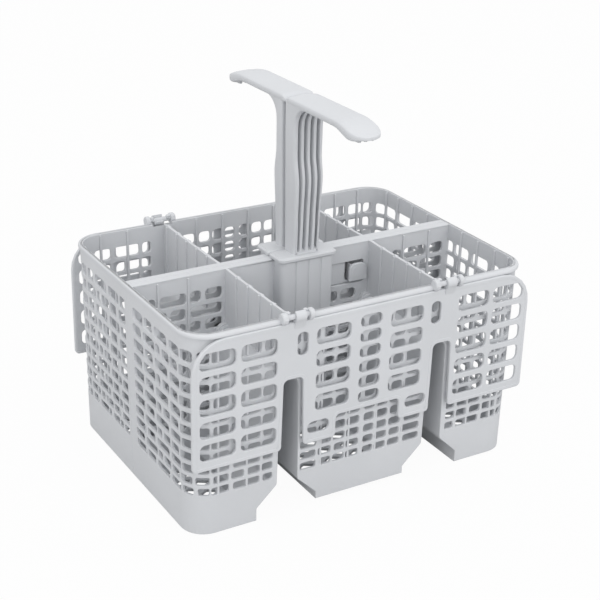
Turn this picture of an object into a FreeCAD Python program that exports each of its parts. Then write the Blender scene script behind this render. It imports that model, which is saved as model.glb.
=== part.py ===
import FreeCAD, Part
import math
import os

# Dishwasher cutlery basket: two hooked halves, a split T handle and two hinged grille lids.
# Millimetres, Z up. The origin lies on the ground under the centre of the basket.
# X runs along the basket, and the front half and its lid lie on the -Y side of the joint plane.

Vec = FreeCAD.Vector

# Basket walls, measured at the rim plane
rim_height = 132.6
half_length = 119.0
half_width = 86.0
corner_radius = 17.0
corner_facets = 4
draft = 1.6
wall = 2.0

# Centre wall and cross walls of one half
centre_wall_face = 5.0
centre_rail_depth = 1.8
divider_x = 53.2
divider_thickness = 2.0

# Gap between the towers, bevelled at its top
gap_half_width = 6.0
gap_top_drop = 40.1
gap_bevel = 3.5
gap_foot_half_width = 7.2
gap_flare_top = 21.5
gap_flare_bottom = 8.4
gap_flare_half_width = 20.9

# Floors
floor_thickness = 2.2
middle_floor_lift = 3.3
floor_bar = 3.0
floor_hole = 21.0

# Rim flange
flange_thickness = 2.4
flange_side = 2.6
flange_end = 0.7
flange_corner_radius = 18.5
flange_bevel = 0.8

# Rows of slots
slot_rows = 11
first_row_drop = 11.3
first_row_pitch = 10.45
row_pitch_step = 0.33
first_slot_share = 0.74
slot_share_step = 0.012
slot_bar = 2.5
slot_margin = 3.5
middle_slots = 2
end_slot_break = (50.0, 33.0)
corner_slot_end = 97.0
centre_slot_rows = 5

# Stiffening ribs inside the compartments
rib_width = 1.4
rib_depth = 1.1
rib_drop = 1.0
divider_ribs = 5
divider_rib_pitch = 14.6
divider_rib_first = 20.0
wall_rib_x = (30.0, 81.0)
end_rib_y = 40.0

# Hinges
hinge_out = 3.0
hinge_up = 1.0
boss_radius = 3.5
pin_radius = 1.65
pin_clearance = 0.07
boss_left = (-9.8, -5.2)
boss_right = (9.1, 13.1)
knuckle_span = (-0.3, 6.6)
knuckle_mouth = 2.6
hinge_clearance = 0.4
hinge_relief_drop = 0.7

# Grille lids, drawn hanging outside the basket
lid_thickness = 2.4
lid_overhang = 0.3
lid_edge_gap = 3.9
lid_rest_gap = 0.2
lid_free_edge = 3.1
lid_corner_radius = 21.0
lid_hole_rows = 5
lid_hole_height = 10.8
lid_hole_pitch = 14.5
lid_hole_top = 10.9
lid_side_hole_start = 11.0
lid_side_holes = 2
lid_side_bar = 3.3
lid_end_border = 5.0
lid_middle_hole = (14.2, 37.8)
lid_foot_hole = (27.6, 42.8)
lid_narrow_half = 7.5
lid_narrow_rows = 6
lid_narrow_height = 7.6
lid_narrow_pitch = 10.15
lid_narrow_top = 9.2
lid_slit = (43.7, 50.9)
lid_slit_height = 14.8
lid_notch_half = 6.6
lid_notch_flare = 1.0
lid_notch_top = 39.7
lid_window_half = 23.0
lid_window_top = 71.2
lid_foot_hole_top = 71.9
lid_foot_hole_height = 7.8

# Handle socket on the centre wall
socket_half = 19.3
socket_front = 15.0
socket_depth = 44.6
socket_wall = 2.0
socket_radius = 3.0
socket_grooves = 3
socket_groove_pitch = 9.2
socket_groove_width = 1.4
socket_groove_depth = 0.7

# Couplings that hook the halves together
window_x = (22.5, 48.5)
window_drop = (28.1, 12.6)
hook_x = (36.5, 49.7)
hook_neck_x = (38.0, 47.6)
hook_drop = (26.1, 14.0)
hook_thickness = 2.2
hook_clearance = 0.3
hook_round = 3.5

# Handle
handle_gap = 0.2
handle_fit = 0.3
handle_flange_half = 21.0
handle_flange_front = 16.5
handle_flange_thickness = 3.0
handle_flange_radius = 4.0
stem_half = 9.0
stem_front = (13.4, 14.6, 15.2, 14.2, 12.7, 12.9)
arm_half = 11.3
arm_length = 86.0
arm_top = 236.8
arm_thickness = 5.6
arm_tip_drop = 5.0
arm_tip_length = 36.0
arm_tip_radius = 10.4
arm_root_radius = 9.0
arm_joint_radius = 2.0
tongue_half = 14.0
tongue_depth = 30.0
slit_count = 4
slit_width = 2.5
slit_pitch = 4.2
slit_rear_wall = 3.0
slit_foot = 5.0
grip_bumps = 3
grip_bump_radius = 1.1
grip_bump_pitch = 4.5
grip_bump_length = 8.0

# Sizes that follow from the ones above
big = 300.0
corner_x = half_length - corner_radius
corner_y = half_width - corner_radius
hinge_y = half_width + hinge_out
hinge_z = rim_height + hinge_up
lid_under = hinge_up - lid_rest_gap
lid_outer_y = hinge_y + lid_under
lid_inner_y = lid_outer_y - lid_thickness
lid_half_length = half_length + lid_overhang
lid_top_z = hinge_z - lid_edge_gap
lid_bottom_z = hinge_z - (hinge_y - lid_free_edge)
flange_bottom = rim_height - flange_thickness
gap_top = rim_height - gap_top_drop
first_row_top = rim_height - first_row_drop
socket_bottom = rim_height - socket_depth
window_z = [rim_height - drop for drop in window_drop]
hook_z = [rim_height - drop for drop in hook_drop]
centre_wall_back = centre_wall_face - wall


def box(x0, x1, y0, y1, z0, z1):
    return Part.makeBox(x1 - x0, y1 - y0, z1 - z0, Vec(x0, y0, z0))


def cylinder_x(x0, x1, y, z, radius):
    return Part.makeCylinder(radius, x1 - x0, Vec(x0, y, z), Vec(1, 0, 0))


def prism_xz(points, y0, y1):
    corners = [Vec(x, y0, z) for x, z in points]
    face = Part.Face(Part.makePolygon(corners + corners[:1]))
    return face.extrude(Vec(0, y1 - y0, 0))


def prism_yz(points, x0, x1):
    corners = [Vec(x0, y, z) for y, z in points]
    face = Part.Face(Part.makePolygon(corners + corners[:1]))
    return face.extrude(Vec(x1 - x0, 0, 0))


def fuse_all(shapes):
    return shapes[0].fuse(shapes[1:]).removeSplitter()


def cut_all(shape, tools):
    return shape.cut(Part.makeCompound(tools))


def other_side(shape):
    turned = shape.copy()
    turned.rotate(Vec(0, 0, 0), Vec(0, 0, 1), 180)
    return turned


def single_solid(shape):
    solids = shape.Solids
    if len(solids) != 1:
        print("pieces in one moulding:", len(solids), [round(s.Volume) for s in solids])
    return max(solids, key=lambda s: s.Volume)


def lean(z):
    return draft * (1.0 - z / rim_height)


# Plan of the front half from one end of the joint plane round to the other
def half_plan(inset):
    radius = corner_radius - inset
    points = [(inset - half_length, 0)]
    for side, first in ((-1, math.pi), (1, 1.5 * math.pi)):
        for i in range(corner_facets + 1):
            angle = first + math.pi / 2 * i / corner_facets
            points.append((side * corner_x + radius * math.cos(angle), radius * math.sin(angle) - corner_y))
    points.append((half_length - inset, 0))
    return points


# The moulded block with drafted walls, front half only
def drafted_block(inset, z0, z1):
    low = [Vec(x, y, z0) for x, y in half_plan(inset + lean(z0))]
    high = [Vec(x, y, z1) for x, y in half_plan(inset + lean(z1))]
    faces = [Part.Face(Part.makePolygon(loop + loop[:1])) for loop in (low, high)]
    for i in range(len(low)):
        j = (i + 1) % len(low)
        faces.append(Part.Face(Part.makePolygon([low[i], low[j], high[j], high[i], low[i]])))
    return Part.makeSolid(Part.makeShell(faces))


# Tall gap with a flared foot between two towers, grown by the wall for the cavities beside it
def tower_gap(centre, grow, y0, y1):
    slant = grow * math.tan(math.pi / 8)
    half = gap_half_width + grow
    side = [
        (gap_flare_half_width + grow, -big),
        (gap_flare_half_width + grow, gap_flare_bottom + slant),
        (gap_foot_half_width + grow, gap_flare_top + slant),
        (half, gap_top - gap_bevel + slant),
        (half - gap_bevel + slant, gap_top + grow),
    ]
    outline = [(centre + x, z) for x, z in side] + [(centre - x, z) for x, z in reversed(side)]
    return prism_xz(outline, y0, y1)


def row_heights():
    rows = []
    top = first_row_top
    for i in range(slot_rows):
        pitch = first_row_pitch - row_pitch_step * i
        half = pitch * (first_slot_share - slot_share_step * i) / 2
        rows.append((top - half, half))
        top -= pitch
    return rows


# Bounds of equal slots that fill a span, shifted by half a slot in every second row
def bricks(start, end, count, shifted):
    pitch = (end - start + slot_bar) / count
    edges = [start + pitch * i for i in range(count)]
    spans = [(e, e + pitch - slot_bar) for e in edges]
    if shifted:
        half = pitch / 2
        spans = [(start, start + half - slot_bar)]
        spans += [(e + half, e + half + pitch - slot_bar) for e in edges[:-1]]
        spans.append((edges[-1] + half, end))
    return spans


def wall_slots():
    tools = []
    deep = wall + draft + 1.0
    tower_margin = gap_foot_half_width + wall + 1.0
    for index, (z, half) in enumerate(row_heights()):
        z0 = z - half
        z1 = z + half
        shifted = index % 2 == 1
        middle_end = divider_x - tower_margin
        for a, b in bricks(-middle_end, middle_end, middle_slots, shifted):
            tools.append(box(a, b, -half_width - 1, deep - half_width, z0, z1))
        side_start = divider_x + tower_margin
        side_end = corner_slot_end - slot_bar
        for x0, x1 in ((side_start, side_end), (-side_end, -side_start)):
            tools.append(box(x0, x1, -half_width - 1, deep - half_width, z0, z1))
        corner_start = end_slot_break[index % 2] + slot_bar
        for x0 in (-half_length - 1, half_length - deep):
            tools.append(box(x0, x0 + deep + 1, -end_slot_break[index % 2], -slot_margin, z0, z1))
        for x0, x1 in ((-half_length - 1, -corner_slot_end), (corner_slot_end, half_length + 1)):
            tools.append(box(x0, x1, -half_width - 1, -corner_start, z0, z1))
    return tools


def centre_slots():
    tools = []
    start = divider_x + gap_foot_half_width + wall + 1.0
    end = corner_x + corner_radius - wall - slot_margin
    y0 = -centre_wall_face - 1
    y1 = 0.5 - centre_wall_back
    for index, (z, half) in enumerate(row_heights()[:centre_slot_rows]):
        for x0, x1 in ((start, end), (-end, -start)):
            tools.append(box(x0, x1, y0, y1, z - half, z + half))
        if index >= 2:
            tools.append(box(window_x[0], divider_x - 10.5, y0, y1, z - half, z + half))
    return tools


# Diagonal lattice floor of one tower
def floor_holes(x0, x1, z):
    region = box(x0, x1, wall + slot_margin - half_width, -centre_wall_face - slot_margin, z - 1, z + 4)
    pitch = (floor_hole + floor_bar) * math.sqrt(2)
    reach = floor_hole / math.sqrt(2)
    diamonds = []
    columns = int((x1 - x0) / pitch) + 2
    rows = int(half_width / pitch) + 2
    middle = (x0 + x1) / 2
    for i in range(-columns, columns + 1):
        for j in range(2 * rows):
            x = middle + i * pitch / 2
            y = -centre_wall_face - slot_margin - j * pitch / 2
            if (i + j) % 2 or x + reach <= x0 + 2 or x - reach >= x1 - 2:
                continue
            if y - reach < wall + slot_margin - half_width - reach + 2:
                continue
            points = [Vec(x - reach, y, z - 1), Vec(x, y - reach, z - 1)]
            points += [Vec(x + reach, y, z - 1), Vec(x, y + reach, z - 1)]
            face = Part.Face(Part.makePolygon(points + points[:1]))
            diamonds.append(face.extrude(Vec(0, 0, 5)))
    return Part.makeCompound(diamonds).common(region)


def rim_flange():
    length = half_length + flange_end
    width = half_width + flange_side
    r = flange_corner_radius
    block = box(-length, length, -width, width, flange_bottom, rim_height)
    upright = [e for e in block.Edges if abs(e.tangentAt(e.FirstParameter).z) > 0.99]
    block = block.makeFillet(r, upright)
    nose = [e for e in block.Edges if abs(e.BoundBox.ZLength) < 1e-6]
    block = block.makeChamfer(flange_bevel, nose)
    return block.common(box(-big, big, -big, 0, 0, big))


def cavities():
    low = floor_thickness
    inner = drafted_block(wall, low, rim_height + 1)
    half = divider_thickness / 2
    back = -centre_wall_face
    rooms = [
        box(-big, -divider_x - half, -big, back, low, big),
        box(divider_x + half, big, -big, back, low, big),
        box(-divider_x + half, divider_x - half, -big, back, low + middle_floor_lift, big),
    ]
    air = inner.common(Part.makeCompound(rooms))
    grown = [tower_gap(x, wall, -big, 1) for x in (-divider_x, divider_x)]
    return cut_all(air, grown)


def inner_ribs():
    ribs = []
    top = rim_height - rib_drop
    first_row = row_heights()[0]
    band_bottom = first_row[0] + first_row[1] + 1.0
    half = rib_width / 2
    front = wall - half_width - 0.3
    for x in [s * x for x in wall_rib_x for s in (-1, 1)]:
        ribs.append(box(x - half, x + half, front, front + rib_depth + 0.3, band_bottom, top))
    for s in (-1, 1):
        face = s * (half_length - wall)
        x0, x1 = sorted((face + s * 0.3, face - s * rib_depth))
        ribs.append(box(x0, x1, -end_rib_y - half, half - end_rib_y, band_bottom, top))
    for i in range(divider_ribs):
        y = -divider_rib_first - divider_rib_pitch * i
        reach = divider_thickness / 2 + rib_depth
        for x in (-divider_x, divider_x):
            ribs.append(box(x - reach, x + reach, y - half, y + half, gap_top + wall - 0.5, top))
    return ribs


def socket_shell():
    outer = box(-socket_half, socket_half, -socket_front, -centre_wall_back, socket_bottom, rim_height)
    edges = [
        e
        for e in outer.Edges
        if abs(e.tangentAt(e.FirstParameter).z) > 0.99 and e.Vertexes[0].Y < -socket_front + 1e-6
    ]
    outer = outer.makeFillet(socket_radius, edges)
    grooves = []
    for i in range(socket_grooves):
        x = (i - (socket_grooves - 1) / 2) * socket_groove_pitch
        groove = box(
            x - socket_groove_width / 2,
            x + socket_groove_width / 2,
            -socket_front - 1,
            socket_groove_depth - socket_front,
            socket_bottom + 6,
            rim_height + 1,
        )
        grooves.append(groove)
    return cut_all(outer, grooves)


def socket_well():
    inner = socket_half - socket_wall
    return box(-inner, inner, socket_wall - socket_front, 1, socket_bottom + socket_wall, rim_height + 1)


# Hook that reaches through the other half's window and bears on that wall's edge
def coupling_hook():
    y0 = -centre_wall_back - 0.5
    y1 = centre_wall_face + hook_clearance
    neck = box(-hook_neck_x[1], -hook_neck_x[0], y0, y1 + 0.5, hook_z[0], hook_z[0] + 3.0)
    plate = box(-hook_x[1], -hook_x[0], y1, y1 + hook_thickness, hook_z[0], hook_z[1])
    top_edges = [
        e
        for e in plate.Edges
        if abs(e.tangentAt(e.FirstParameter).y) > 0.99 and e.Vertexes[0].Z > hook_z[1] - 1e-6
    ]
    return neck.fuse(plate.makeFillet(hook_round, top_edges))


def hinge_cuts(x):
    left = x + boss_left[1]
    right = x + boss_right[0]
    relief = boss_radius + hinge_clearance - hinge_y
    flange = box(left, right, -big, relief, lid_top_z - hinge_relief_drop, big)
    outward = hinge_y - half_width + wall
    ramp = prism_yz(
        [
            (-half_width, rim_height - 2.4),
            (outward - hinge_y, rim_height - 1.6),
            (outward + 6.0 - hinge_y, rim_height),
            (outward + 6.0 - hinge_y, rim_height + 1),
            (-half_width, rim_height + 1),
        ],
        x - divider_thickness / 2 - rib_depth,
        x + knuckle_span[1] + hinge_clearance,
    )
    return [flange, ramp]


def hinge_posts(x):
    return [
        cylinder_x(x + boss_left[0], x + boss_left[1], -hinge_y, hinge_z, boss_radius),
        cylinder_x(x + boss_right[0], x + boss_right[1], -hinge_y, hinge_z, boss_radius),
        cylinder_x(x + boss_left[1] - 0.5, x + boss_right[0] + 0.5, -hinge_y, hinge_z, pin_radius),
    ]


def basket_half():
    hinges = (-divider_x, divider_x)
    body = drafted_block(0, 0, rim_height).fuse(rim_flange()).removeSplitter()
    seam_gap = drafted_block(wall, -1, rim_height - centre_rail_depth).common(
        box(-big, big, -centre_wall_back, 1, -big, big)
    )
    body = body.cut([cavities(), seam_gap])
    body = body.fuse([socket_shell()] + inner_ribs())
    body = body.removeSplitter()
    under_middle = box(
        -divider_x, divider_x, -big, 1, -1, middle_floor_lift
    )
    tools = [tower_gap(x, 0, -big, 1) for x in hinges]
    tools += [socket_well(), under_middle]
    tools.append(box(window_x[0], window_x[1], -centre_wall_face - 1, 1 - centre_wall_back, *window_z))
    for x in hinges:
        tools += hinge_cuts(x)
    body = cut_all(body, [fuse_all([t]) for t in tools])
    outer_end = corner_x + corner_radius - draft - wall - slot_margin
    side_start = divider_x + gap_flare_half_width + wall
    middle_end = divider_x - gap_flare_half_width - wall
    holes = wall_slots() + centre_slots()
    holes.append(floor_holes(side_start, outer_end, 0))
    holes.append(floor_holes(-outer_end, -side_start, 0))
    holes.append(floor_holes(-middle_end, middle_end, middle_floor_lift))
    body = cut_all(body, holes)
    posts = [post for x in hinges for post in hinge_posts(x)]
    return single_solid(body.fuse(posts + [coupling_hook()]).removeSplitter())


def lid_hole(x0, x1, z0, z1):
    return box(x0, x1, -lid_outer_y - 1, 1 - lid_inner_y, z0, z1)


def lid_side_spans():
    start = divider_x + lid_side_hole_start
    pitch = (lid_half_length - lid_end_border + lid_side_bar - start) / lid_side_holes
    return [(start + pitch * i, start + pitch * (i + 1) - lid_side_bar) for i in range(lid_side_holes)]


def lid_hole_set():
    holes = []
    sides = (-1, 1)
    for row in range(lid_hole_rows):
        z1 = hinge_z - lid_hole_top - lid_hole_pitch * row
        z0 = z1 - lid_hole_height
        spans = lid_side_spans()
        if row < lid_hole_rows - 1:
            spans.append(lid_middle_hole)
        for a, b in spans:
            for s in sides:
                holes.append((min(s * a, s * b), max(s * a, s * b), z0, z1))
    for row in range(lid_narrow_rows):
        z1 = hinge_z - lid_narrow_top - lid_narrow_pitch * row
        holes.append((-lid_narrow_half, lid_narrow_half, z1 - lid_narrow_height, z1))
    slit_top = hinge_z - lid_hole_top
    foot_top = hinge_z - lid_foot_hole_top
    for s in sides:
        a, b = sorted((s * lid_slit[0], s * lid_slit[1]))
        holes.append((a, b, slit_top - lid_slit_height, slit_top))
        a, b = sorted((s * lid_foot_hole[0], s * lid_foot_hole[1]))
        holes.append((a, b, foot_top - lid_foot_hole_height, foot_top))
    return [lid_hole(*h) for h in holes]


def lid():
    plate = box(-lid_half_length, lid_half_length, -lid_outer_y, -lid_inner_y, lid_bottom_z, lid_top_z)
    corners = [
        e
        for e in plate.Edges
        if abs(e.tangentAt(e.FirstParameter).y) > 0.99 and e.Vertexes[0].Z > lid_top_z - 1e-6
    ]
    plate = plate.makeFillet(lid_corner_radius, corners)
    notches = []
    notch_top = hinge_z - lid_notch_top
    for x in (-divider_x, divider_x):
        outline = [
            (x - lid_notch_half, notch_top - 2),
            (x - lid_notch_half + 2, notch_top),
            (x + lid_notch_half - 2, notch_top),
            (x + lid_notch_half, notch_top - 2),
            (x + lid_notch_half + lid_notch_flare, lid_bottom_z - 1),
            (x - lid_notch_half - lid_notch_flare, lid_bottom_z - 1),
        ]
        notches.append(prism_xz(outline, -lid_outer_y - 1, 1 - lid_inner_y))
    window_top = hinge_z - lid_window_top
    window = box(
        -lid_window_half, lid_window_half, -lid_outer_y - 1, 1 - lid_inner_y, lid_bottom_z - 1, window_top
    )
    plate = cut_all(plate, notches + [window] + lid_hole_set())
    knuckles = []
    bores = []
    for x in (-divider_x, divider_x):
        x0 = x + knuckle_span[0]
        x1 = x + knuckle_span[1]
        strap = prism_yz(
            [
                (-lid_inner_y, lid_top_z - 5),
                (-lid_outer_y, lid_top_z - 5),
                (-hinge_y - 3.0, hinge_z - 1.8),
                (-hinge_y, hinge_z),
                (-lid_inner_y, hinge_z - 2.4),
            ],
            x0,
            x1,
        )
        knuckles += [strap, cylinder_x(x0, x1, -hinge_y, hinge_z, boss_radius)]
        bores.append(cylinder_x(x0 - 1, x1 + 1, -hinge_y, hinge_z, pin_radius + pin_clearance))
        mouth = box(x0 - 1, x1 + 1, 0, boss_radius + 1, -knuckle_mouth / 2, knuckle_mouth / 2)
        mouth.rotate(Vec(0, 0, 0), Vec(1, 0, 0), 50)
        mouth.translate(Vec(0, -hinge_y, hinge_z))
        bores.append(mouth)
    return single_solid(cut_all(fuse_all([plate] + knuckles), bores))


# Handle half: flange on the socket, finned stem and paddle arm
def stem():
    top = arm_top - arm_thickness / 2
    foot = rim_height + handle_flange_thickness - 0.5
    count = len(stem_front)
    steps = [foot + (top - 18 - foot) * i / (count - 1) for i in range(count)]
    wave = Part.BSplineCurve()
    wave.interpolate([Vec(0, -y, z) for y, z in zip(stem_front, steps)])
    start = Vec(0, -stem_front[0], foot)
    end = Vec(0, -stem_front[-1], steps[-1])
    back_low = Vec(0, -handle_gap, foot)
    back_high = Vec(0, -handle_gap, top)
    front_high = Vec(0, -stem_front[-1] - arm_root_radius, top)
    knee = Vec(0, -stem_front[-1] - 2.6, top - 6)
    root = Part.BSplineCurve()
    root.interpolate([end, knee, front_high])
    edges = [
        wave.toShape(),
        root.toShape(),
        Part.makeLine(front_high, back_high),
        Part.makeLine(back_high, back_low),
        Part.makeLine(back_low, start),
    ]
    face = Part.Face(Part.Wire(edges))
    face.translate(Vec(-stem_half, 0, 0))
    return face.extrude(Vec(2 * stem_half, 0, 0))


def arm_side():
    inner = -handle_gap
    under = arm_top - arm_thickness
    tip_start = arm_tip_length - arm_length
    tip_z = arm_top - arm_tip_drop
    upper = Part.BSplineCurve()
    upper.interpolate(
        [Vec(0, tip_start, arm_top), Vec(0, tip_start - 20, arm_top - 1.4), Vec(0, -arm_length, tip_z)]
    )
    lower = Part.BSplineCurve()
    lower.interpolate(
        [
            Vec(0, -arm_length, tip_z - 2.2),
            Vec(0, -arm_length + 9, under - 3.8),
            Vec(0, tip_start - 12, under - 1.2),
            Vec(0, tip_start + 4, under),
        ]
    )
    edges = [
        Part.makeLine(Vec(0, inner, under), Vec(0, inner, arm_top)),
        Part.makeLine(Vec(0, inner, arm_top), Vec(0, tip_start, arm_top)),
        upper.toShape(),
        Part.makeLine(Vec(0, -arm_length, tip_z), Vec(0, -arm_length, tip_z - 2.2)),
        lower.toShape(),
        Part.makeLine(Vec(0, tip_start + 4, under), Vec(0, inner, under)),
    ]
    face = Part.Face(Part.Wire(edges))
    face.translate(Vec(-big, 0, 0))
    return face.extrude(Vec(2 * big, 0, 0))


def arm_plan():
    plan = box(-arm_half, arm_half, -arm_length, -handle_gap, 0, big)
    upright = [e for e in plan.Edges if abs(e.tangentAt(e.FirstParameter).z) > 0.99]
    tip = [e for e in upright if e.Vertexes[0].Y < -1]
    plan = plan.makeFillet(arm_tip_radius, tip)
    joint = [
        e
        for e in plan.Edges
        if abs(e.tangentAt(e.FirstParameter).z) > 0.99 and e.Vertexes[0].Y > -1
    ]
    return plan.makeFillet(arm_joint_radius, joint)


def handle_half():
    grip = arm_side().common(arm_plan()).removeSplitter()
    foot = rim_height + handle_flange_thickness
    plate = box(
        -handle_flange_half, handle_flange_half, -handle_flange_front, -handle_gap, rim_height, foot
    )
    upright = [
        e
        for e in plate.Edges
        if abs(e.tangentAt(e.FirstParameter).z) > 0.99 and e.Vertexes[0].Y < -1
    ]
    plate = plate.makeFillet(handle_flange_radius, upright)
    tongue = box(
        -tongue_half,
        tongue_half,
        socket_wall + handle_fit - socket_front,
        -handle_gap,
        rim_height - tongue_depth,
        rim_height + 1,
    )
    slits = []
    for i in range(slit_count):
        x = (i - (slit_count - 1) / 2) * slit_pitch
        rear = -handle_gap - slit_rear_wall
        points = [
            (rear, foot + slit_foot + 8),
            (-big, foot + slit_foot - 1),
            (-big, arm_top - arm_thickness - 8),
            (-stem_front[-1] - 3, arm_top - arm_thickness - 3.5),
            (rear - 4, arm_top - arm_thickness - 3.5),
            (rear, arm_top - arm_thickness - 8),
        ]
        slits.append(prism_yz(points, x - slit_width / 2, x + slit_width / 2))
    bumps = []
    for i in range(grip_bumps):
        x = (i - (grip_bumps - 1) / 2) * grip_bump_pitch
        start = Vec(x, 6 - arm_length, arm_top - arm_thickness - 3.4)
        bumps.append(Part.makeCylinder(grip_bump_radius, grip_bump_length, start, Vec(0, 1, 0)))
    body = fuse_all([stem(), grip])
    body = cut_all(body, slits)
    return single_solid(fuse_all([body, plate, tongue] + bumps))


def main():
    os.makedirs("parts", exist_ok=True)
    front = {"basket_front": basket_half(), "lid_front": lid(), "handle_front": handle_half()}
    for name, shape in front.items():
        print(name, "valid", shape.isValid(), "volume", round(shape.Volume))
        shape.exportStep("parts/" + name + ".step")
        other_side(shape).exportStep("parts/" + name.replace("front", "back") + ".step")


main()
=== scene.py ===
import math

import bmesh
import bpy
from mathutils import Matrix, Vector
from mathutils.geometry import delaunay_2d_cdt


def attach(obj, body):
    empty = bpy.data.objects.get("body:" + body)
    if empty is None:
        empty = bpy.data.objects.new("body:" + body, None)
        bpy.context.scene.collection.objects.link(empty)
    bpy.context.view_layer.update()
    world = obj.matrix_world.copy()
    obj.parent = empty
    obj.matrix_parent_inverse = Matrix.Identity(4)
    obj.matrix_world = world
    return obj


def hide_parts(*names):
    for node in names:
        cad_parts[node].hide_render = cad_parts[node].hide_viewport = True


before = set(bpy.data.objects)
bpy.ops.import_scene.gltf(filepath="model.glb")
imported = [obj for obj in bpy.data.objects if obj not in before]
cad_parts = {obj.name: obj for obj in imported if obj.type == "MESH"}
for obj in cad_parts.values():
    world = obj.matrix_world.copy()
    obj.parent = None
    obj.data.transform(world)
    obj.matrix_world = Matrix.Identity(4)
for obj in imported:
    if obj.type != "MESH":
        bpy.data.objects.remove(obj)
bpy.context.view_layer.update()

# Sizes in millimetres, repeated from the part
RIM = 132.6
LENGTH = 119.0
WIDTH = 86.0
CORNER = 17.0
DRAFT = 1.6
WALL = 2.0
HINGE_X = (-53.2, 53.2)
HINGE_Y = 89.0
HINGE_Z = 133.6
ARC = CORNER * math.pi / 2
FLAT_X = LENGTH - CORNER
FLAT_Y = WIDTH - CORNER
TURN = FLAT_X + ARC
END = TURN + FLAT_Y

# Sizes of the finer shapes, read from the photo
ROWS = 11
TOP_ROW = 121.3
ROW_PITCH = 10.45
PITCH_STEP = 0.33
SLOT_SHARE = 0.745
SHARE_STEP = 0.004
GAP_TOP = 92.5
NOTCH = (-5.2, 9.1)
NOTCH_BOTTOM = 128.9
LIP_LENGTH = 119.7
LIP_WIDTH = 88.6
LIP_CORNER = 18.5
BOSS = 3.45
PIN = 1.65
INNER_Y = 84.2
DIVIDER_RIBS = [-20.0 - 14.6 * i for i in range(5)]
LID_FACE = -89.8
LID_LOW = 47.7
LID_TOP = 130.05
BAR_STEP = 14.5
KNUCKLE_START = -0.3
KNUCKLE_WIDE = 6.9
DIAMOND_STEP = 9.6
DIAMOND_X = 6.2
DIAMOND_Y = 3.7
STEM_FOOT = 134.0
GROOVE_FOOT = 137.0
GROOVE_TOP = 230.2
ARM_UNDER = 231.0
ARM_TOP = 236.8
ARM_HALF = 10.9
ARM_END = 80.5
TIP_START = 68.6
TIP_LENGTH = 12.0
DROOP_START = 59.0
FIN_PITCH = 4.4
FILLET = 13.1
FILLET_START = 219.0

# Camera of the photo: turn, height and roll in degrees, place in metres
CAMERA_ANGLES = (31.02, 23.87, -1.47)
CAMERA_PLACE = (-0.417, -0.6993, 0.4585)
CAMERA_LENS = 81.97
WHITE = (1, 1, 1, 1)


# Outlines
def clockwise(loop):
    area = sum(a[0] * b[1] - b[0] * a[1] for a, b in zip(loop, loop[1:] + loop[:1]))
    return area < 0


def rounded(points, radius, steps=4):
    out = []
    radii = radius if isinstance(radius, (list, tuple)) else [radius] * len(points)
    for i, p in enumerate(points):
        p = Vector(p)
        a = Vector(points[i - 1]) - p
        b = Vector(points[(i + 1) % len(points)]) - p
        angle = a.angle(b)
        if radii[i] <= 0 or angle > 3.1:
            out.append(tuple(p))
            continue
        reach = min(radii[i] / math.tan(angle / 2), 0.49 * a.length, 0.49 * b.length)
        r = reach * math.tan(angle / 2)
        centre = p + (a.normalized() + b.normalized()).normalized() * (r / math.sin(angle / 2))
        start = p + a.normalized() * reach - centre
        end = p + b.normalized() * reach - centre
        total = start.angle_signed(end)
        for k in range(steps + 1):
            t = -total * k / steps
            c, s = math.cos(t), math.sin(t)
            out.append((centre.x + c * start.x - s * start.y, centre.y + s * start.x + c * start.y))
    return out


def hole(x0, x1, z0, z1, radius, steps=3):
    r = min(radius, 0.48 * (x1 - x0), 0.48 * (z1 - z0))
    return rounded([(x0, z0), (x1, z0), (x1, z1), (x0, z1)], r, steps)


def grown(loop, distance):
    out = []
    for i, p in enumerate(loop):
        p = Vector(p)
        a = (p - Vector(loop[i - 1])).normalized()
        b = (Vector(loop[(i + 1) % len(loop)]) - p).normalized()
        side = Vector((-a.y - b.y, a.x + b.x))
        if side.length < 1e-6:
            side = Vector((-a.y, a.x))
        side.normalize()
        stretch = max(0.4, side.dot(Vector((-a.y, a.x))))
        out.append(tuple(p + side * distance / stretch))
    return out


def inside(p, loop):
    odd = False
    for a, b in zip(loop, loop[1:] + loop[:1]):
        if (a[1] > p[1]) != (b[1] > p[1]):
            if p[0] < a[0] + (p[1] - a[1]) * (b[0] - a[0]) / (b[1] - a[1]):
                odd = not odd
    return odd


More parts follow.
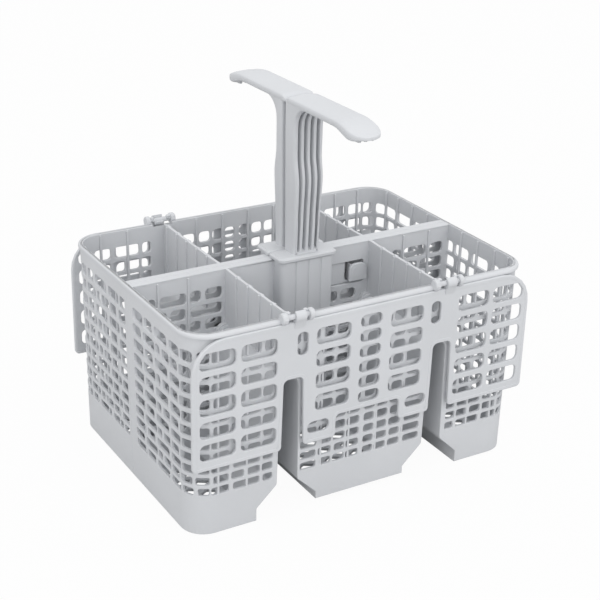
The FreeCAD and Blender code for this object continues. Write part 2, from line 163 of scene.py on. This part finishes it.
# Meshes: lists of corner points and faces that a moulding collects
class Moulding:
    def __init__(self):
        self.verts = []
        self.faces = []

    def add(self, verts, faces, place=None):
        base = len(self.verts)
        self.verts += [place(*v) if place else tuple(v) for v in verts]
        self.faces += [tuple(base + i for i in f) for f in faces]

    # Plate with holes, both faces bevelled at every edge
    def plate(self, outer, holes, thick, place, bevel=0.3, cuts=()):
        loops = [outer[::-1] if clockwise(outer) else outer]
        loops += [h if clockwise(h) else h[::-1] for h in holes]
        inner = [grown(loop, bevel) for loop in loops]
        flat = [p for loop in inner for p in loop]
        edge = [p for loop in loops for p in loop]
        count = len(flat)
        links = []
        base = 0
        for loop in loops:
            n = len(loop)
            links += [(base + i, base + (i + 1) % n) for i in range(n)]
            base += n
        result = delaunay_2d_cdt([Vector(p) for p in flat], links, [], 1, 1e-7)
        found, tris, origin = result[0], result[2], result[3]
        index = [o[0] if o else None for o in origin]
        boxes = [
            (min(p[0] for p in h), max(p[0] for p in h), min(p[1] for p in h), max(p[1] for p in h), h)
            for h in inner[1:]
        ]
        verts = [(p[0], p[1], 0.0) for p in flat] + [(p[0], p[1], bevel) for p in edge]
        verts += [(p[0], p[1], thick - bevel) for p in edge] + [(p[0], p[1], thick) for p in flat]
        faces = []
        for t in tris:
            mid = sum((Vector(found[i]) for i in t), Vector((0, 0))) / len(t)
            if any(a < mid.x < b and c < mid.y < d and inside(mid, h) for a, b, c, d, h in boxes):
                continue
            if not inside(mid, inner[0]) or any(index[i] is None for i in t):
                continue
            face = tuple(index[i] for i in t)
            faces.append(tuple(reversed(face)))
            faces.append(tuple(3 * count + i for i in face))
        for level in range(3):
            low, high = level * count, (level + 1) * count
            faces += [(low + a, low + b, high + b, high + a) for a, b in links]
        if cuts:
            mesh = bmesh.new()
            made = [mesh.verts.new(v) for v in verts]
            for f in faces:
                mesh.faces.new([made[i] for i in f])
            for u in cuts:
                geometry = mesh.verts[:] + mesh.edges[:] + mesh.faces[:]
                bmesh.ops.bisect_plane(mesh, geom=geometry, dist=1e-5, plane_co=(u, 0, 0), plane_no=(1, 0, 0))
            mesh.verts.index_update()
            verts = [tuple(v.co) for v in mesh.verts]
            faces = [tuple(v.index for v in f.verts) for f in mesh.faces]
            mesh.free()
        self.add(verts, faces, place)

    # Rings of points joined into a closed skin
    def loft(self, rings):
        n = len(rings[0])
        verts = [p for ring in rings for p in ring]
        faces = []
        for k in range(len(rings) - 1):
            for i in range(n):
                j = (i + 1) % n
                faces.append((k * n + i, k * n + j, (k + 1) * n + j, (k + 1) * n + i))
        faces.append(tuple(reversed(range(n))))
        faces.append(tuple((len(rings) - 1) * n + i for i in range(n)))
        self.add(verts, faces)

    def bar(self, x0, x1, y0, y1, z0, z1, bevel=0.25):
        outline = [(x0, y0), (x1, y0), (x1, y1), (x0, y1)]
        self.plate(rounded(outline, bevel * 1.5, 2), [], z1 - z0, lambda u, v, w: (u, v, z0 + w), bevel)

    # Round bar along X with softened ends
    def rod(self, x0, x1, y, z, radius, soft=0.5, sides=28):
        rings = []
        for x, r in ((x0, radius - soft), (x0 + soft, radius), (x1 - soft, radius), (x1, radius - soft)):
            turn = [2 * math.pi * i / sides for i in range(sides)]
            rings.append([(x, y + r * math.cos(t), z + r * math.sin(t)) for t in turn])
        self.loft(rings)

    def piece(self, name, node, body, slot, material, turned=False):
        mesh = bpy.data.meshes.new(name)
        sign = -1 if turned else 1
        points = [(sign * x / 1000, sign * y / 1000, z / 1000) for x, y, z in self.verts]
        mesh.from_pydata(points, [], self.faces)
        work = bmesh.new()
        work.from_mesh(mesh)
        bmesh.ops.recalc_face_normals(work, faces=work.faces)
        work.to_mesh(mesh)
        work.free()
        mesh.shade_smooth()
        mesh.set_sharp_from_angle(angle=math.radians(32))
        mesh.materials.append(material)
        obj = bpy.data.objects.new(name, mesh)
        bpy.context.scene.collection.objects.link(obj)
        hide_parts(node)
        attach(obj, body)
        return obj


# Outer wall of one half: u runs along the wall from the middle of the front, w into the wall
def lean(z):
    return DRAFT * (1 - z / RIM)


def wall_point(u, z, w):
    c = lean(z) + w
    side = 1 if u >= 0 else -1
    a = abs(u)
    if a <= FLAT_X:
        return u, c - WIDTH, z
    if a <= TURN:
        t = (a - FLAT_X) / CORNER
        return side * (FLAT_X + (CORNER - c) * math.sin(t)), -FLAT_Y - (CORNER - c) * math.cos(t), z
    return side * (LENGTH - c), a - TURN - FLAT_Y, z


def slot_rows():
    top = TOP_ROW
    for i in range(ROWS):
        pitch = ROW_PITCH - PITCH_STEP * i
        half = pitch * (SLOT_SHARE - SHARE_STEP * i) / 2
        yield i, top - half, half
        top -= pitch


# Slot spans along the wall, in even rows (A) and odd rows (B)
MIDDLE_A = (
    (-44.8, -33.3), (-30.8, -22.8), (-21.4, -13), (-11.9, -2.8),
    (0.5, 8), (9.1, 17.6), (19.3, 28), (31, 42.8),
)
MIDDLE_B = (
    (-44.8, -33.6), (-32, -22.8), (-20.5, -13), (-11.9, -2.8),
    (0.5, 8), (9.1, 18), (20, 27.6), (29, 42.8),
)
SIDE_A = ((63.8, 70.3), (72.5, 90.2), (93, 104.8), (106, 113.6), (116.4, 125.3))
SIDE_B = ((63.8, 71), (72.3, 80.5), (83, 91.5), (93.3, 103.5), (105.8, 115.3), (117.2, 127))
LEFT_A = ((126.4, 139), (142, 159), (162, 173), (174.7, 189.2))
LEFT_B = ((128.8, 138.4), (139.6, 149.2), (151.8, 157.8), (159, 175.2), (178, 189.5))
RIGHT_A = ((127, 134), (136.5, 144.8), (148.3, 165.8), (169.3, 184.8), (186.8, 195))
RIGHT_B = ((128.8, 132.8), (135, 148.3), (150.4, 155.8), (158.2, 169.2), (171.2, 181.2), (184.4, 195))


def wall_slots():
    slots = []
    for i, z, half in slot_rows():
        odd = i % 2
        spans = list(MIDDLE_B if odd else MIDDLE_A)
        if i < 2:
            spans += [(-51.4, -46.7), (46.7, 51.4)]
        side = SIDE_B if odd else SIDE_A
        spans += side + (RIGHT_B if odd else RIGHT_A)
        spans += [(-b, -a) for a, b in side + (LEFT_B if odd else LEFT_A)]
        for a, b in spans:
            radius = half * (0.66 if abs(a) < 60 else 0.55)
            slots.append(hole(a, b, z - half, z + half, radius))
    return slots


def gap_side(grow):
    slant = grow * math.tan(math.pi / 8)
    return [
        (20.9 + grow, 0),
        (20.9 + grow, 8.4 + slant),
        (7.2 + grow, 21.5 + slant),
        (6.0 + grow, GAP_TOP + grow),
    ]


def gap_outline(centre, grow, left_foot, right_foot):
    side = gap_side(grow)
    left = [(centre - x, z) for x, z in side]
    right = [(centre + x, z) for x, z in reversed(side)]
    left[0] = (left[0][0], left_foot)
    right[-1] = (right[-1][0], right_foot)
    radii = [0, 2, 3, 5.8 + grow, 5.8 + grow, 3, 2, 0]
    return left + right, radii


def outer_wall(half):
    points = [(-END, 0)]
    radii = [0]
    for centre, left, right in ((HINGE_X[0], 0, 3.3), (HINGE_X[1], 3.3, 0)):
        outline, round_ = gap_outline(centre, 0, left, right)
        points += outline
        radii += round_
    points += [(END, 0), (END, RIM)]
    radii += [0, 0]
    for x in reversed(HINGE_X):
        left, right = x + NOTCH[0], x + NOTCH[1]
        points += [(right, RIM), (right, NOTCH_BOTTOM), (left, NOTCH_BOTTOM), (left, RIM)]
        radii += [0, 0.6, 0.6, 0]
    points.append((-END, RIM))
    radii.append(0)
    cuts = [s * (FLAT_X + ARC * k / 10) for s in (-1, 1) for k in range(11)]
    half.plate(rounded(points, radii), wall_slots(), WALL, wall_point, 0.28, cuts)
    for x in HINGE_X:
        ramp = [(-85.1, 128.2), (-85.1, 130.3), (-84.6, 130.9), (-83.9, 131.1), (-83.9, 128.2)]
        half.plate(ramp, [], 14.6, lambda u, v, w, x=x: (x - 5.3 + w, u, v), 0.12)


# Rolled lip: a profile swept round the rim from one end of the half to the other
def lip_point(u, out, z):
    side = 1 if u >= 0 else -1
    a = abs(u)
    outer = LIP_CORNER
    inner = CORNER - WALL
    flat_x, flat_y = LIP_LENGTH - outer, LIP_WIDTH - outer
    if a <= FLAT_X:
        share = a / FLAT_X
        low, high = (u, WALL - WIDTH), (side * share * flat_x, -LIP_WIDTH)
    elif a <= TURN:
        t = (a - FLAT_X) / CORNER
        s, c = math.sin(t), math.cos(t)
        low = (side * (FLAT_X + inner * s), -FLAT_Y - inner * c)
        high = (side * (flat_x + outer * s), -flat_y - outer * c)
    else:
        y = a - TURN - FLAT_Y
        low, high = (side * (LENGTH - WALL), y), (side * LIP_LENGTH, y * flat_y / FLAT_Y)
    return low[0] + (high[0] - low[0]) * out, low[1] + (high[1] - low[1]) * out, z


LIP = (
    (0.0, 131.9), (0.06, 132.45), (0.14, 132.6), (0.62, 132.6), (0.8, 132.4), (0.94, 131.9), (0.99, 131.3),
    (1.0, 130.6), (0.98, 130.25), (0.9, 130.12), (0.62, 130.1), (0.5, 129.75), (0.44, 129.0), (0.2, 129.0),
    (0.0, 129.4),
)


def lip(half):
    stops = [-END] + [x + side for x in HINGE_X for side in NOTCH] + [END]
    bends = [s * (FLAT_X + ARC * k / 14) for s in (-1, 1) for k in range(15)]
    for a, b in ((stops[0], stops[1]), (stops[2], stops[3]), (stops[4], stops[5])):
        line = sorted([a, b] + [u for u in bends if a < u < b])
        half.loft([[lip_point(u, out, z) for out, z in LIP] for u in line])


def hinge_posts(half):
    for x in HINGE_X:
        for a, b, sides in ((-8.9, -5.3, 10), (9.1, 12.2, 28)):
            half.rod(x + a, x + b, -HINGE_Y, HINGE_Z, BOSS, 0.5, sides)
            half.bar(x + a + 0.4, x + b - 0.4, -88.6, -INNER_Y, 130.2, 132.5, 0.4)
            half.bar(x + a + 0.4, x + b - 0.4, -88.6, -85.9, 131.5, 134.4, 0.4)
        for a, b in ((-5.5, -2.4), (6.9, 9.3)):
            half.bar(x + a, x + b, -88.6, -86.2, 134.2, 136.7, 0.4)
        half.rod(x - 5.6, x + 9.5, -HINGE_Y, HINGE_Z, PIN, 0.2, 20)


def linings(half):
    for centre, left, right in ((HINGE_X[0], 0, 3.3), (HINGE_X[1], 3.3, 0)):
        near, near_radii = gap_outline(centre, -0.04, left - 0.02, right - 0.02)
        far, far_radii = gap_outline(centre, WALL, left, right)
        loop = rounded(near + far[::-1], near_radii + far_radii[::-1])
        half.plate(loop, [], 81.0, lambda u, v, w: (u, w - INNER_Y, v), 0.05)
        for grow, reach in ((3.4, 3.2), (2.7, 5.4)):
            wide, high = 8 + grow, 94.5 + grow
            collar = rounded([(-wide, 82), (-wide, high), (wide, high), (wide, 82)], [0, 7, 7, 0])
            start = -4.8 - reach
            half.plate(
                collar, [], reach,
                lambda u, v, w, c=centre, y=start: (c + u * 0.72, y + w, v - 1.5), 0.3,
            )


def divider(half):
    for x in HINGE_X:
        top = [(-INNER_Y, 93.2), (-3.2, 93.2), (-3.2, 132.5)]
        for y in DIVIDER_RIBS:
            top += [(y + 1.4, 132.0), (y + 0.9, 132.5), (y - 0.9, 132.5), (y - 1.4, 132.0)]
        top += [(-81.5, 132.0), (-INNER_Y, 131.4)]
        half.plate(top, [], 2.0, lambda u, v, w, x=x: (x - 1 + w, u, v), 0.3)
        for y in DIVIDER_RIBS:
            half.bar(x - 2.1, x + 2.1, y - 0.7, y + 0.7, 93.5, 131.8, 0.3)


def ribs(half):
    for x in (30.0, 10.0, 81.0, 100.0):
        for s in (-1, 1):
            rib = [(-84.6, 24.0), (-81.6, 24.0), (-82.7, 131.6), (-84.6, 131.6)]
            half.plate(rib, [], 1.4, lambda u, v, w, x=s * x: (x - 0.7 + w, u, v), 0.2)
    for x in (79.8, 100.3):
        for s in (-1, 1):
            half.bar(s * x - 0.7, s * x + 0.7, -6.1, -4.6, 24.0, 131.2, 0.3)
    for y in (20.0, 38.0, 56.0, 70.0):
        for s in (-1, 1):
            rib = [(s * 117.4, 131.6), (s * 115.7, 131.6), (s * 114.5, 24.0), (s * 117.0, 24.0)]
            half.plate(rib, [], 1.4, lambda u, v, w, y=y: (u, -y - 0.7 + w, v), 0.2)


def centre_wall(half):
    points = [(-116.6, 0.3)]
    radii = [0]
    for centre, left, right in ((HINGE_X[0], 0.3, 3.6), (HINGE_X[1], 3.6, 0.3)):
        outline, round_ = gap_outline(centre, 0, left, right)
        points += outline
        radii += round_
    points += [(116.6, 0.3), (118.2, 131.8), (17.3, 131.8), (17.3, 90)]
    points += [(-17.3, 90), (-17.3, 131.8), (-118.2, 131.8)]
    radii += [0, 0, 0, 1, 1, 0, 0]
    holes = [hole(22.5, 48.5, 104.5, 120, 1.0)]
    for i, z, tall in slot_rows():
        near = 56 if i < 3 else 64
        if i % 2:
            spans = [(near, 78), (81.5, 92), (94.5, 112.5)]
        else:
            spans = [(near, 68), (71, 78.5), (81, 99), (102, 112.5)]
        if 1 < i:
            spans += [(22.5, 29), (31.5, 43)]
        for a, b in spans:
            for x0, x1 in ((a, b), (-b, -a)):
                holes.append(hole(x0, x1, z - tall, z + tall, 0.66 * tall))
    half.plate(rounded(points, radii), holes, WALL, lambda u, v, w: (u, -5 + w, v), 0.28)
    half.bar(19.0, 118.4, -5.0, -0.05, 130.8, RIM, 0.35)
    half.bar(-118.4, -19.0, -5.0, -0.05, 130.8, RIM, 0.35)


def floors(half):
    for x0, x1, z in ((74.3, 116.9, 0.0), (-116.9, -74.3, 0.0), (-32.1, 32.1, 3.3)):
        outline = [(x0, -84.0), (x1, -84.0), (x1, -3.2), (x0, -3.2)]
        radii = [14 if x0 < -110 else 0, 14 if x1 > 110 else 0, 0, 0]
        middle = (x0 + x1) / 2
        holes = []
        for i in range(-5, 6):
            for j in range(16):
                x = middle + i * DIAMOND_STEP
                y = -14.0 - j * DIAMOND_STEP / 1.55
                if (i + j) % 2 or abs(x - middle) > (x1 - x0) / 2 - 8.2 or y < -76:
                    continue
                if abs(x) > 102 and y < -70:
                    continue
                diamond = [(x - DIAMOND_X, y), (x, y - DIAMOND_Y), (x + DIAMOND_X, y), (x, y + DIAMOND_Y)]
                holes.append(rounded(diamond, 0.8, 2))
        half.plate(rounded(outline, radii), holes, 2.2, lambda u, v, w, z=z: (u, v, z + w), 0.25)


def socket(half):
    outer = [(-19.3, -3.2), (-19.3, -15.0)]
    radii = [0, 3.4]
    for x in (-9.2, 0, 9.2):
        outer += [(x - 0.9, -15.0), (x - 0.5, -14.3), (x + 0.5, -14.3), (x + 0.9, -15.0)]
        radii += [0.3, 0.3, 0.3, 0.3]
    outer += [(19.3, -15.0), (19.3, -3.2)]
    radii += [3.4, 0]
    inner = [(17.3, -3.2), (17.3, -13.0), (-17.3, -13.0), (-17.3, -3.2)]
    outline = rounded(outer + inner, radii + [0, 1.6, 1.6, 0])
    half.plate(outline, [], 43.9, lambda u, v, w: (u, v, 88.2 + w), 0.3)
    base = [(-19.3, -3.2), (-19.3, -15.0), (19.3, -15.0), (19.3, -3.2)]
    half.plate(rounded(base, [0, 3.4, 3.4, 0]), [], 2.0, lambda u, v, w: (u, v, 88.0 + w), 0.3)


def hook(half):
    half.bar(-47.6, -38.0, -3.4, 5.8, 106.5, 109.5, 0.4)
    tab = rounded([(-49.7, 106.5), (-36.5, 106.5), (-36.5, 118.6), (-49.7, 118.6)], [0.6, 0.6, 4.5, 4.5])
    half.plate(tab, [], 2.2, lambda u, v, w: (u, 5.3 + w, v), 0.4)
    inset = rounded([(-47.7, 109.5), (-38.5, 109.5), (-38.5, 116.8), (-47.7, 116.8)], [0.5, 0.5, 3, 3])
    half.plate(inset, [], 0.5, lambda u, v, w: (u, 7.2 + w, v), 0.15)
    half.bar(-39.0, -38.0, 0.2, 5.8, 108.0, 118.0, 0.3)
    panel = rounded([(-48.2, 104.8), (-22.8, 104.8), (-22.8, 119.7), (-48.2, 119.7)], 0.6)
    slot = rounded([(-48.0, 106.2), (-35.2, 106.2), (-35.2, 119.4), (-48.0, 119.4)], [0.5, 2.5, 0.5, 0.5])
    half.plate(panel, [slot], 1.0, lambda u, v, w: (u, 2.3 + w, v), 0.2)


def basket_half():
    half = Moulding()
    outer_wall(half)
    lip(half)
    hinge_posts(half)
    linings(half)
    divider(half)
    ribs(half)
    centre_wall(half)
    floors(half)
    socket(half)
    hook(half)
    return half


# Lid, hanging outside the front wall
def lid_holes():
    holes = []
    for row in range(5):
        top = 122.7 - BAR_STEP * row
        spans = [(64.2, 87.7), (91.0, 114.3)] + ([(14.2, 37.8)] if row < 4 else [])
        for a, b in spans:
            outer = row == 0 and a > 90
            for s in (-1, 1):
                x0, x1 = min(s * a, s * b), max(s * a, s * b)
                radii = [3.4, 3.4, 3.4, 3.4]
                if outer:
                    radii[2 if s > 0 else 3] = 10.2
                box = [(x0, top - 10.8), (x1, top - 10.8), (x1, top), (x0, top)]
                holes.append(rounded(box, radii, 5))
    for row in range(6):
        top = 124.4 - 10.15 * row
        holes.append(hole(-7.5, 7.5, top - 7.6, top, 3.2, 5))
    for s in (-1, 1):
        holes.append(hole(*sorted((s * 43.7, s * 50.9)), 107.9, 122.7, 3.2, 5))
        holes.append(hole(*sorted((s * 27.6, s * 42.8)), 53.9, 61.7, 3.6, 5))
    return holes


def lid_outline():
    low, high = LID_LOW, LID_TOP
    points = [(-119.3, low)]
    radii = [3]
    for x in HINGE_X:
        points += [(x - 7.6, low), (x - 6.6, 93.9), (x + 6.6, 93.9), (x + 7.6, low)]
        radii += [2.5, 3.4, 3.4, 2.5]
        if x < 0:
            points += [(-23, low), (-23, 62.4), (23, 62.4), (23, low)]
            radii += [2.5, 3, 3, 2.5]
    points += [(119.3, low), (119.3, high), (-119.3, high)]
    radii += [3, 21.5, 21.5]
    return rounded(points, radii, 6)


def knuckle(piece, x):
    bore, skin = 1.72, 3.5
    loop = []
    start, stop = math.radians(-2), math.radians(-262)
    for k in range(25):
        t = start + (stop - start) * k / 24
        loop.append((-HINGE_Y + skin * math.cos(t), HINGE_Z + skin * math.sin(t)))
    for k in range(21):
        t = stop + (start - stop) * k / 20
        loop.append((-HINGE_Y + bore * math.cos(t), HINGE_Z + bore * math.sin(t)))
    piece.plate(loop, [], KNUCKLE_WIDE, lambda u, v, w: (x + KNUCKLE_START + w, u, v), 0.25)
    strap = [(-87.4, 126.6), (LID_FACE, 126.2), (-90.9, 130.0), (-91.9, 131.6)]
    strap += [(-90.6, 131.0), (-88.6, 130.6), (-87.4, 129.9)]
    piece.plate(strap, [], KNUCKLE_WIDE, lambda u, v, w: (x + KNUCKLE_START + w, u, v), 0.25)


def lid():
    piece = Moulding()
    outline = lid_outline()
    outline = outline[::-1] if clockwise(outline) else outline
    piece.plate(grown(outline, 0.5), lid_holes(), 2.0, lambda u, v, w: (u, LID_FACE + 0.2 + w, v), 0.35)
    piece.plate(outline, [grown(outline, 2.6)], 2.4, lambda u, v, w: (u, LID_FACE + w, v), 0.45)
    for x in HINGE_X:
        knuckle(piece, x)
    return piece


# Handle half
def smooth(t):
    t = max(0.0, min(1.0, t))
    return t * t * (3 - 2 * t)


def along(stations, z):
    for (z0, a), (z1, b) in zip(stations, stations[1:]):
        if z <= z1:
            return a + (b - a) * smooth((z - z0) / (z1 - z0))
    return stations[-1][1]


STEM_FRONT = ((STEM_FOOT, 12.4), (158.0, 13.2), (184.0, 14.4), (201.0, 11.8), (219.0, 11.7))


def stem_ring(z):
    rise = min(FILLET - 0.1, max(0.0, z - FILLET_START))
    front = along(STEM_FRONT, z) + FILLET - math.sqrt(FILLET ** 2 - rise ** 2)
    web = 0.9
    depth = (front - web) * smooth((z - GROOVE_FOOT) / 4.0) * smooth((GROOVE_TOP - z) / 4.0)
    half, r = 9.3 + 1.4 * smooth((z - STEM_FOOT) / 96.0), 2.2
    turns = (0, 0.4, 0.8, 1.2, 1.57)
    ring = [(-half + 0.9 * (1 - math.sin(t)), -0.4 - 0.9 * (1 - math.cos(t))) for t in turns]
    for k in range(6):
        t = math.pi / 2 * k / 5
        ring.append((-half + r - r * math.cos(t), -front + r - r * math.sin(t)))
    for i in range(4):
        x = (i - 1.5) * FIN_PITCH
        soft = min(0.25, depth)
        end = -front + (depth if i < 3 else depth * (front - 5.4) / (front - web))
        ring += [(x - 1.35, -front), (x - 1.2, -front + soft), (x - 1.15, end)]
        ring += [(x + 1.15, end), (x + 1.2, -front + soft), (x + 1.35, -front)]
    for k in range(6):
        t = math.pi / 2 * (1 - k / 5)
        ring.append((half - r + r * math.cos(t), -front + r - r * math.sin(t)))
    ring += [(half - 1.4 * (1 - math.sin(t)), -3.9 - 2.0 * (1 - math.cos(t))) for t in reversed(turns)]
    ring += [(half - 5.0, -3.9), (half - 5.0, -0.4)]
    return [(x, y, z) for x, y in ring]


def arm_section(y):
    a = -y
    half = ARM_HALF
    edge, shoulder = 3.2, 5.0
    if a > TIP_START:
        half *= max(0.0, 1 - ((a - TIP_START) / TIP_LENGTH) ** 2.2) ** 0.5
    if a < edge:
        half -= edge - math.sqrt(edge ** 2 - (edge - a) ** 2)
    half = max(half, 1.2)
    bend = shoulder - math.sqrt(shoulder ** 2 - (shoulder - a) ** 2) if a < shoulder else 0
    drop = 0 if a < DROOP_START else 6.4 * ((a - DROOP_START) / (ARM_END - DROOP_START)) ** 1.7
    top = ARM_TOP - drop - bend
    low = ARM_UNDER - 4.0 * smooth((a - 55) / 17.0)
    if a > 72:
        low += (top - 1.8 - low) * ((a - 72) / 8.6) ** 2.4
    crown, sides = 0.9, 28
    ring = []
    middle = (top + low) / 2
    tall = (top - low) / 2
    for k in range(sides):
        t = 2 * math.pi * k / sides
        c, s = math.cos(t), math.sin(t)
        x = half * math.copysign(abs(c) ** 0.34, c)
        z = middle + tall * math.copysign(abs(s) ** 0.5, s)
        if s > 0:
            z -= crown * (x / 11.3) ** 2 * s
        ring.append((x, y, z))
    return ring


def handle_half():
    piece = Moulding()
    plan = [(-21, -0.4), (-21, -16.5), (21, -16.5), (21, -0.4)]
    piece.plate(rounded(plan, [2, 4, 4, 2], 6), [], 2.6, lambda u, v, w: (u, v, 132.6 + w), 0.5)
    step = [(-19.8, -0.8), (-19.8, -15.5), (19.8, -15.5), (19.8, -0.8)]
    piece.plate(rounded(step, [2, 3.2, 3.2, 2], 6), [], 1.6, lambda u, v, w: (u, v, 134.0 + w), 0.6)
    tongue = [(-14, -0.3), (-14, -12.7), (14, -12.7), (14, -0.3)]
    piece.plate(rounded(tongue, 1.0), [], 30.4, lambda u, v, w: (u, v, 102.6 + w), 0.6)
    levels = [134.0, 136, 137, 138, 139, 140, 141, 142.5, 146] + [150 + 4 * i for i in range(19)]
    levels += [223.5, 225, 226.5, 228, 229.2, 230.2, 231, 231.6, 232.2, 233.3]
    piece.loft([stem_ring(z) for z in levels])
    stations = [0.3, 0.5, 0.9, 1.4, 2, 2.6, 3.2, 4, 5, 6.5] + [9 + 5 * i for i in range(9)]
    stations += [52, 55, 58, 61, 64, 66.5]
    stations += [TIP_START + TIP_LENGTH * math.sin(math.pi / 2 * k / 12) for k in range(13)]
    piece.loft([arm_section(-min(a, ARM_END)) for a in stations])
    for i in (-1, 0, 1):
        rings = []
        for k in range(7):
            t = math.pi * k / 6
            r = 1.2 * math.sqrt(max(0.02, math.sin(t)))
            y = -71.5 - 4.0 * math.cos(t)
            turn = [2 * math.pi * j / 12 for j in range(12)]
            rings.append([(FIN_PITCH * i + r * math.cos(q), y, 227.1 + r * math.sin(q)) for q in turn])
        piece.loft(rings)
    return piece


# Moulded polypropylene with a fine grain and faint clouding
def plastic(name, colour, grain):
    material = bpy.data.materials.new(name)
    material.use_nodes = True
    nodes = material.node_tree.nodes
    links = material.node_tree.links
    shader = nodes["Principled BSDF"]
    where = nodes.new("ShaderNodeTexCoord")
    cloud = nodes.new("ShaderNodeTexNoise")
    cloud.inputs["Scale"].default_value = 16.0
    cloud.inputs["Detail"].default_value = 3.0
    links.new(where.outputs["Object"], cloud.inputs["Vector"])
    tone = nodes.new("ShaderNodeValToRGB")
    tone.color_ramp.elements[0].position = 0.3
    tone.color_ramp.elements[1].position = 0.7
    tone.color_ramp.elements[0].color = (*[c * 0.965 for c in colour], 1)
    tone.color_ramp.elements[1].color = (*[min(1, c * 1.03) for c in colour], 1)
    links.new(cloud.outputs["Fac"], tone.inputs["Fac"])
    links.new(tone.outputs["Color"], shader.inputs["Base Color"])
    fine = nodes.new("ShaderNodeTexNoise")
    fine.inputs["Scale"].default_value = grain
    fine.inputs["Detail"].default_value = 2.0
    links.new(where.outputs["Object"], fine.inputs["Vector"])
    rough = nodes.new("ShaderNodeMapRange")
    rough.inputs["To Min"].default_value = 0.5
    rough.inputs["To Max"].default_value = 0.64
    links.new(fine.outputs["Fac"], rough.inputs["Value"])
    links.new(rough.outputs["Result"], shader.inputs["Roughness"])
    bump = nodes.new("ShaderNodeBump")
    bump.inputs["Strength"].default_value = 0.08
    bump.inputs["Distance"].default_value = 0.0002
    links.new(fine.outputs["Fac"], bump.inputs["Height"])
    links.new(bump.outputs["Normal"], shader.inputs["Normal"])
    shader.inputs["IOR"].default_value = 1.49
    return material


GREY = (0.575, 0.588, 0.61)
basket_plastic = plastic("basket_plastic_fine", GREY, 2600.0)
lid_plastic = plastic("lid_plastic_fine", GREY, 2400.0)
handle_plastic = plastic("handle_plastic_fine", GREY, 2200.0)

half = basket_half()
half.piece("basket_front_moulding", "basket_front", "basket", "basket_plastic", basket_plastic)
half.piece("basket_back_moulding", "basket_back", "basket", "basket_plastic", basket_plastic, True)
grip = handle_half()
grip.piece("handle_front_moulding", "handle_front", "basket", "handle_plastic", handle_plastic)
grip.piece("handle_back_moulding", "handle_back", "basket", "handle_plastic", handle_plastic, True)
cover = lid()
cover.piece("lid_front_moulding", "lid_front", "front_lid", "lid_plastic", lid_plastic)
cover.piece("lid_back_moulding", "lid_back", "back_lid", "lid_plastic", lid_plastic, True)


# White studio floor that keeps the shadow
def studio_floor():
    mesh = bpy.data.meshes.new("floor")
    mesh.from_pydata([(-4, -4, 0), (4, -4, 0), (4, 4, 0), (-4, 4, 0)], [], [(0, 1, 2, 3)])
    floor = bpy.data.objects.new("floor", mesh)
    floor.location.z = -0.0003
    bpy.context.scene.collection.objects.link(floor)
    material = bpy.data.materials.new("floor_white")
    material.use_nodes = True
    nodes = material.node_tree.nodes
    links = material.node_tree.links
    nodes["Principled BSDF"].inputs["Base Color"].default_value = (0.6, 0.6, 0.6, 1)
    nodes["Principled BSDF"].inputs["Roughness"].default_value = 0.9
    white = nodes.new("ShaderNodeEmission")
    white.inputs["Color"].default_value = WHITE
    white.inputs["Strength"].default_value = 1.0
    path = nodes.new("ShaderNodeLightPath")
    share = nodes.new("ShaderNodeMath")
    share.operation = "MULTIPLY"
    share.inputs[1].default_value = 0.96
    mix = nodes.new("ShaderNodeMixShader")
    links.new(path.outputs["Is Camera Ray"], share.inputs[0])
    links.new(share.outputs["Value"], mix.inputs["Fac"])
    links.new(nodes["Principled BSDF"].outputs["BSDF"], mix.inputs[1])
    links.new(white.outputs["Emission"], mix.inputs[2])
    links.new(mix.outputs["Shader"], nodes["Material Output"].inputs["Surface"])
    mesh.materials.append(material)


def world_light():
    world = bpy.data.worlds.new("studio")
    bpy.context.scene.world = world
    world.use_nodes = True
    nodes = world.node_tree.nodes
    links = world.node_tree.links
    back = nodes["Background"]
    back.inputs["Color"].default_value = WHITE
    back.inputs["Strength"].default_value = 0.98
    seen = nodes.new("ShaderNodeBackground")
    seen.inputs["Color"].default_value = WHITE
    seen.inputs["Strength"].default_value = 1.0
    path = nodes.new("ShaderNodeLightPath")
    mix = nodes.new("ShaderNodeMixShader")
    links.new(path.outputs["Is Camera Ray"], mix.inputs["Fac"])
    links.new(back.outputs["Background"], mix.inputs[1])
    links.new(seen.outputs["Background"], mix.inputs[2])
    links.new(mix.outputs["Shader"], nodes["World Output"].inputs["Surface"])


def lamp(name, place, size, power):
    data = bpy.data.lights.new(name, "AREA")
    data.shape = "DISK"
    data.size = size
    data.energy = power
    obj = bpy.data.objects.new(name, data)
    obj.location = place
    obj.rotation_euler = (Vector((0, 0, 0.1)) - Vector(place)).to_track_quat("-Z", "Y").to_euler()
    bpy.context.scene.collection.objects.link(obj)


def camera():
    azimuth, elevation, roll = (math.radians(a) for a in CAMERA_ANGLES)
    level = math.cos(elevation)
    forward = Vector((math.sin(azimuth) * level, math.cos(azimuth) * level, -math.sin(elevation)))
    right = Vector((math.cos(azimuth), -math.sin(azimuth), 0))
    down = forward.cross(right)
    across = math.cos(roll) * right + math.sin(roll) * down
    below = -math.sin(roll) * right + math.cos(roll) * down
    data = bpy.data.cameras.new("camera")
    data.sensor_width = 36.0
    data.lens = CAMERA_LENS
    obj = bpy.data.objects.new("camera", data)
    turn = Matrix((across, -below, -forward)).transposed().to_4x4()
    obj.matrix_world = Matrix.Translation(CAMERA_PLACE) @ turn
    bpy.context.scene.collection.objects.link(obj)
    bpy.context.scene.camera = obj


studio_floor()
world_light()
lamp("key", (0.2, -1.6, 1.2), 1.8, 9)
lamp("left", (-1.5, -0.9, 0.9), 0.9, 3.5)
lamp("top", (0.0, 0.0, 2.0), 0.8, 4)
camera()
bpy.context.scene.view_settings.view_transform = "Standard"
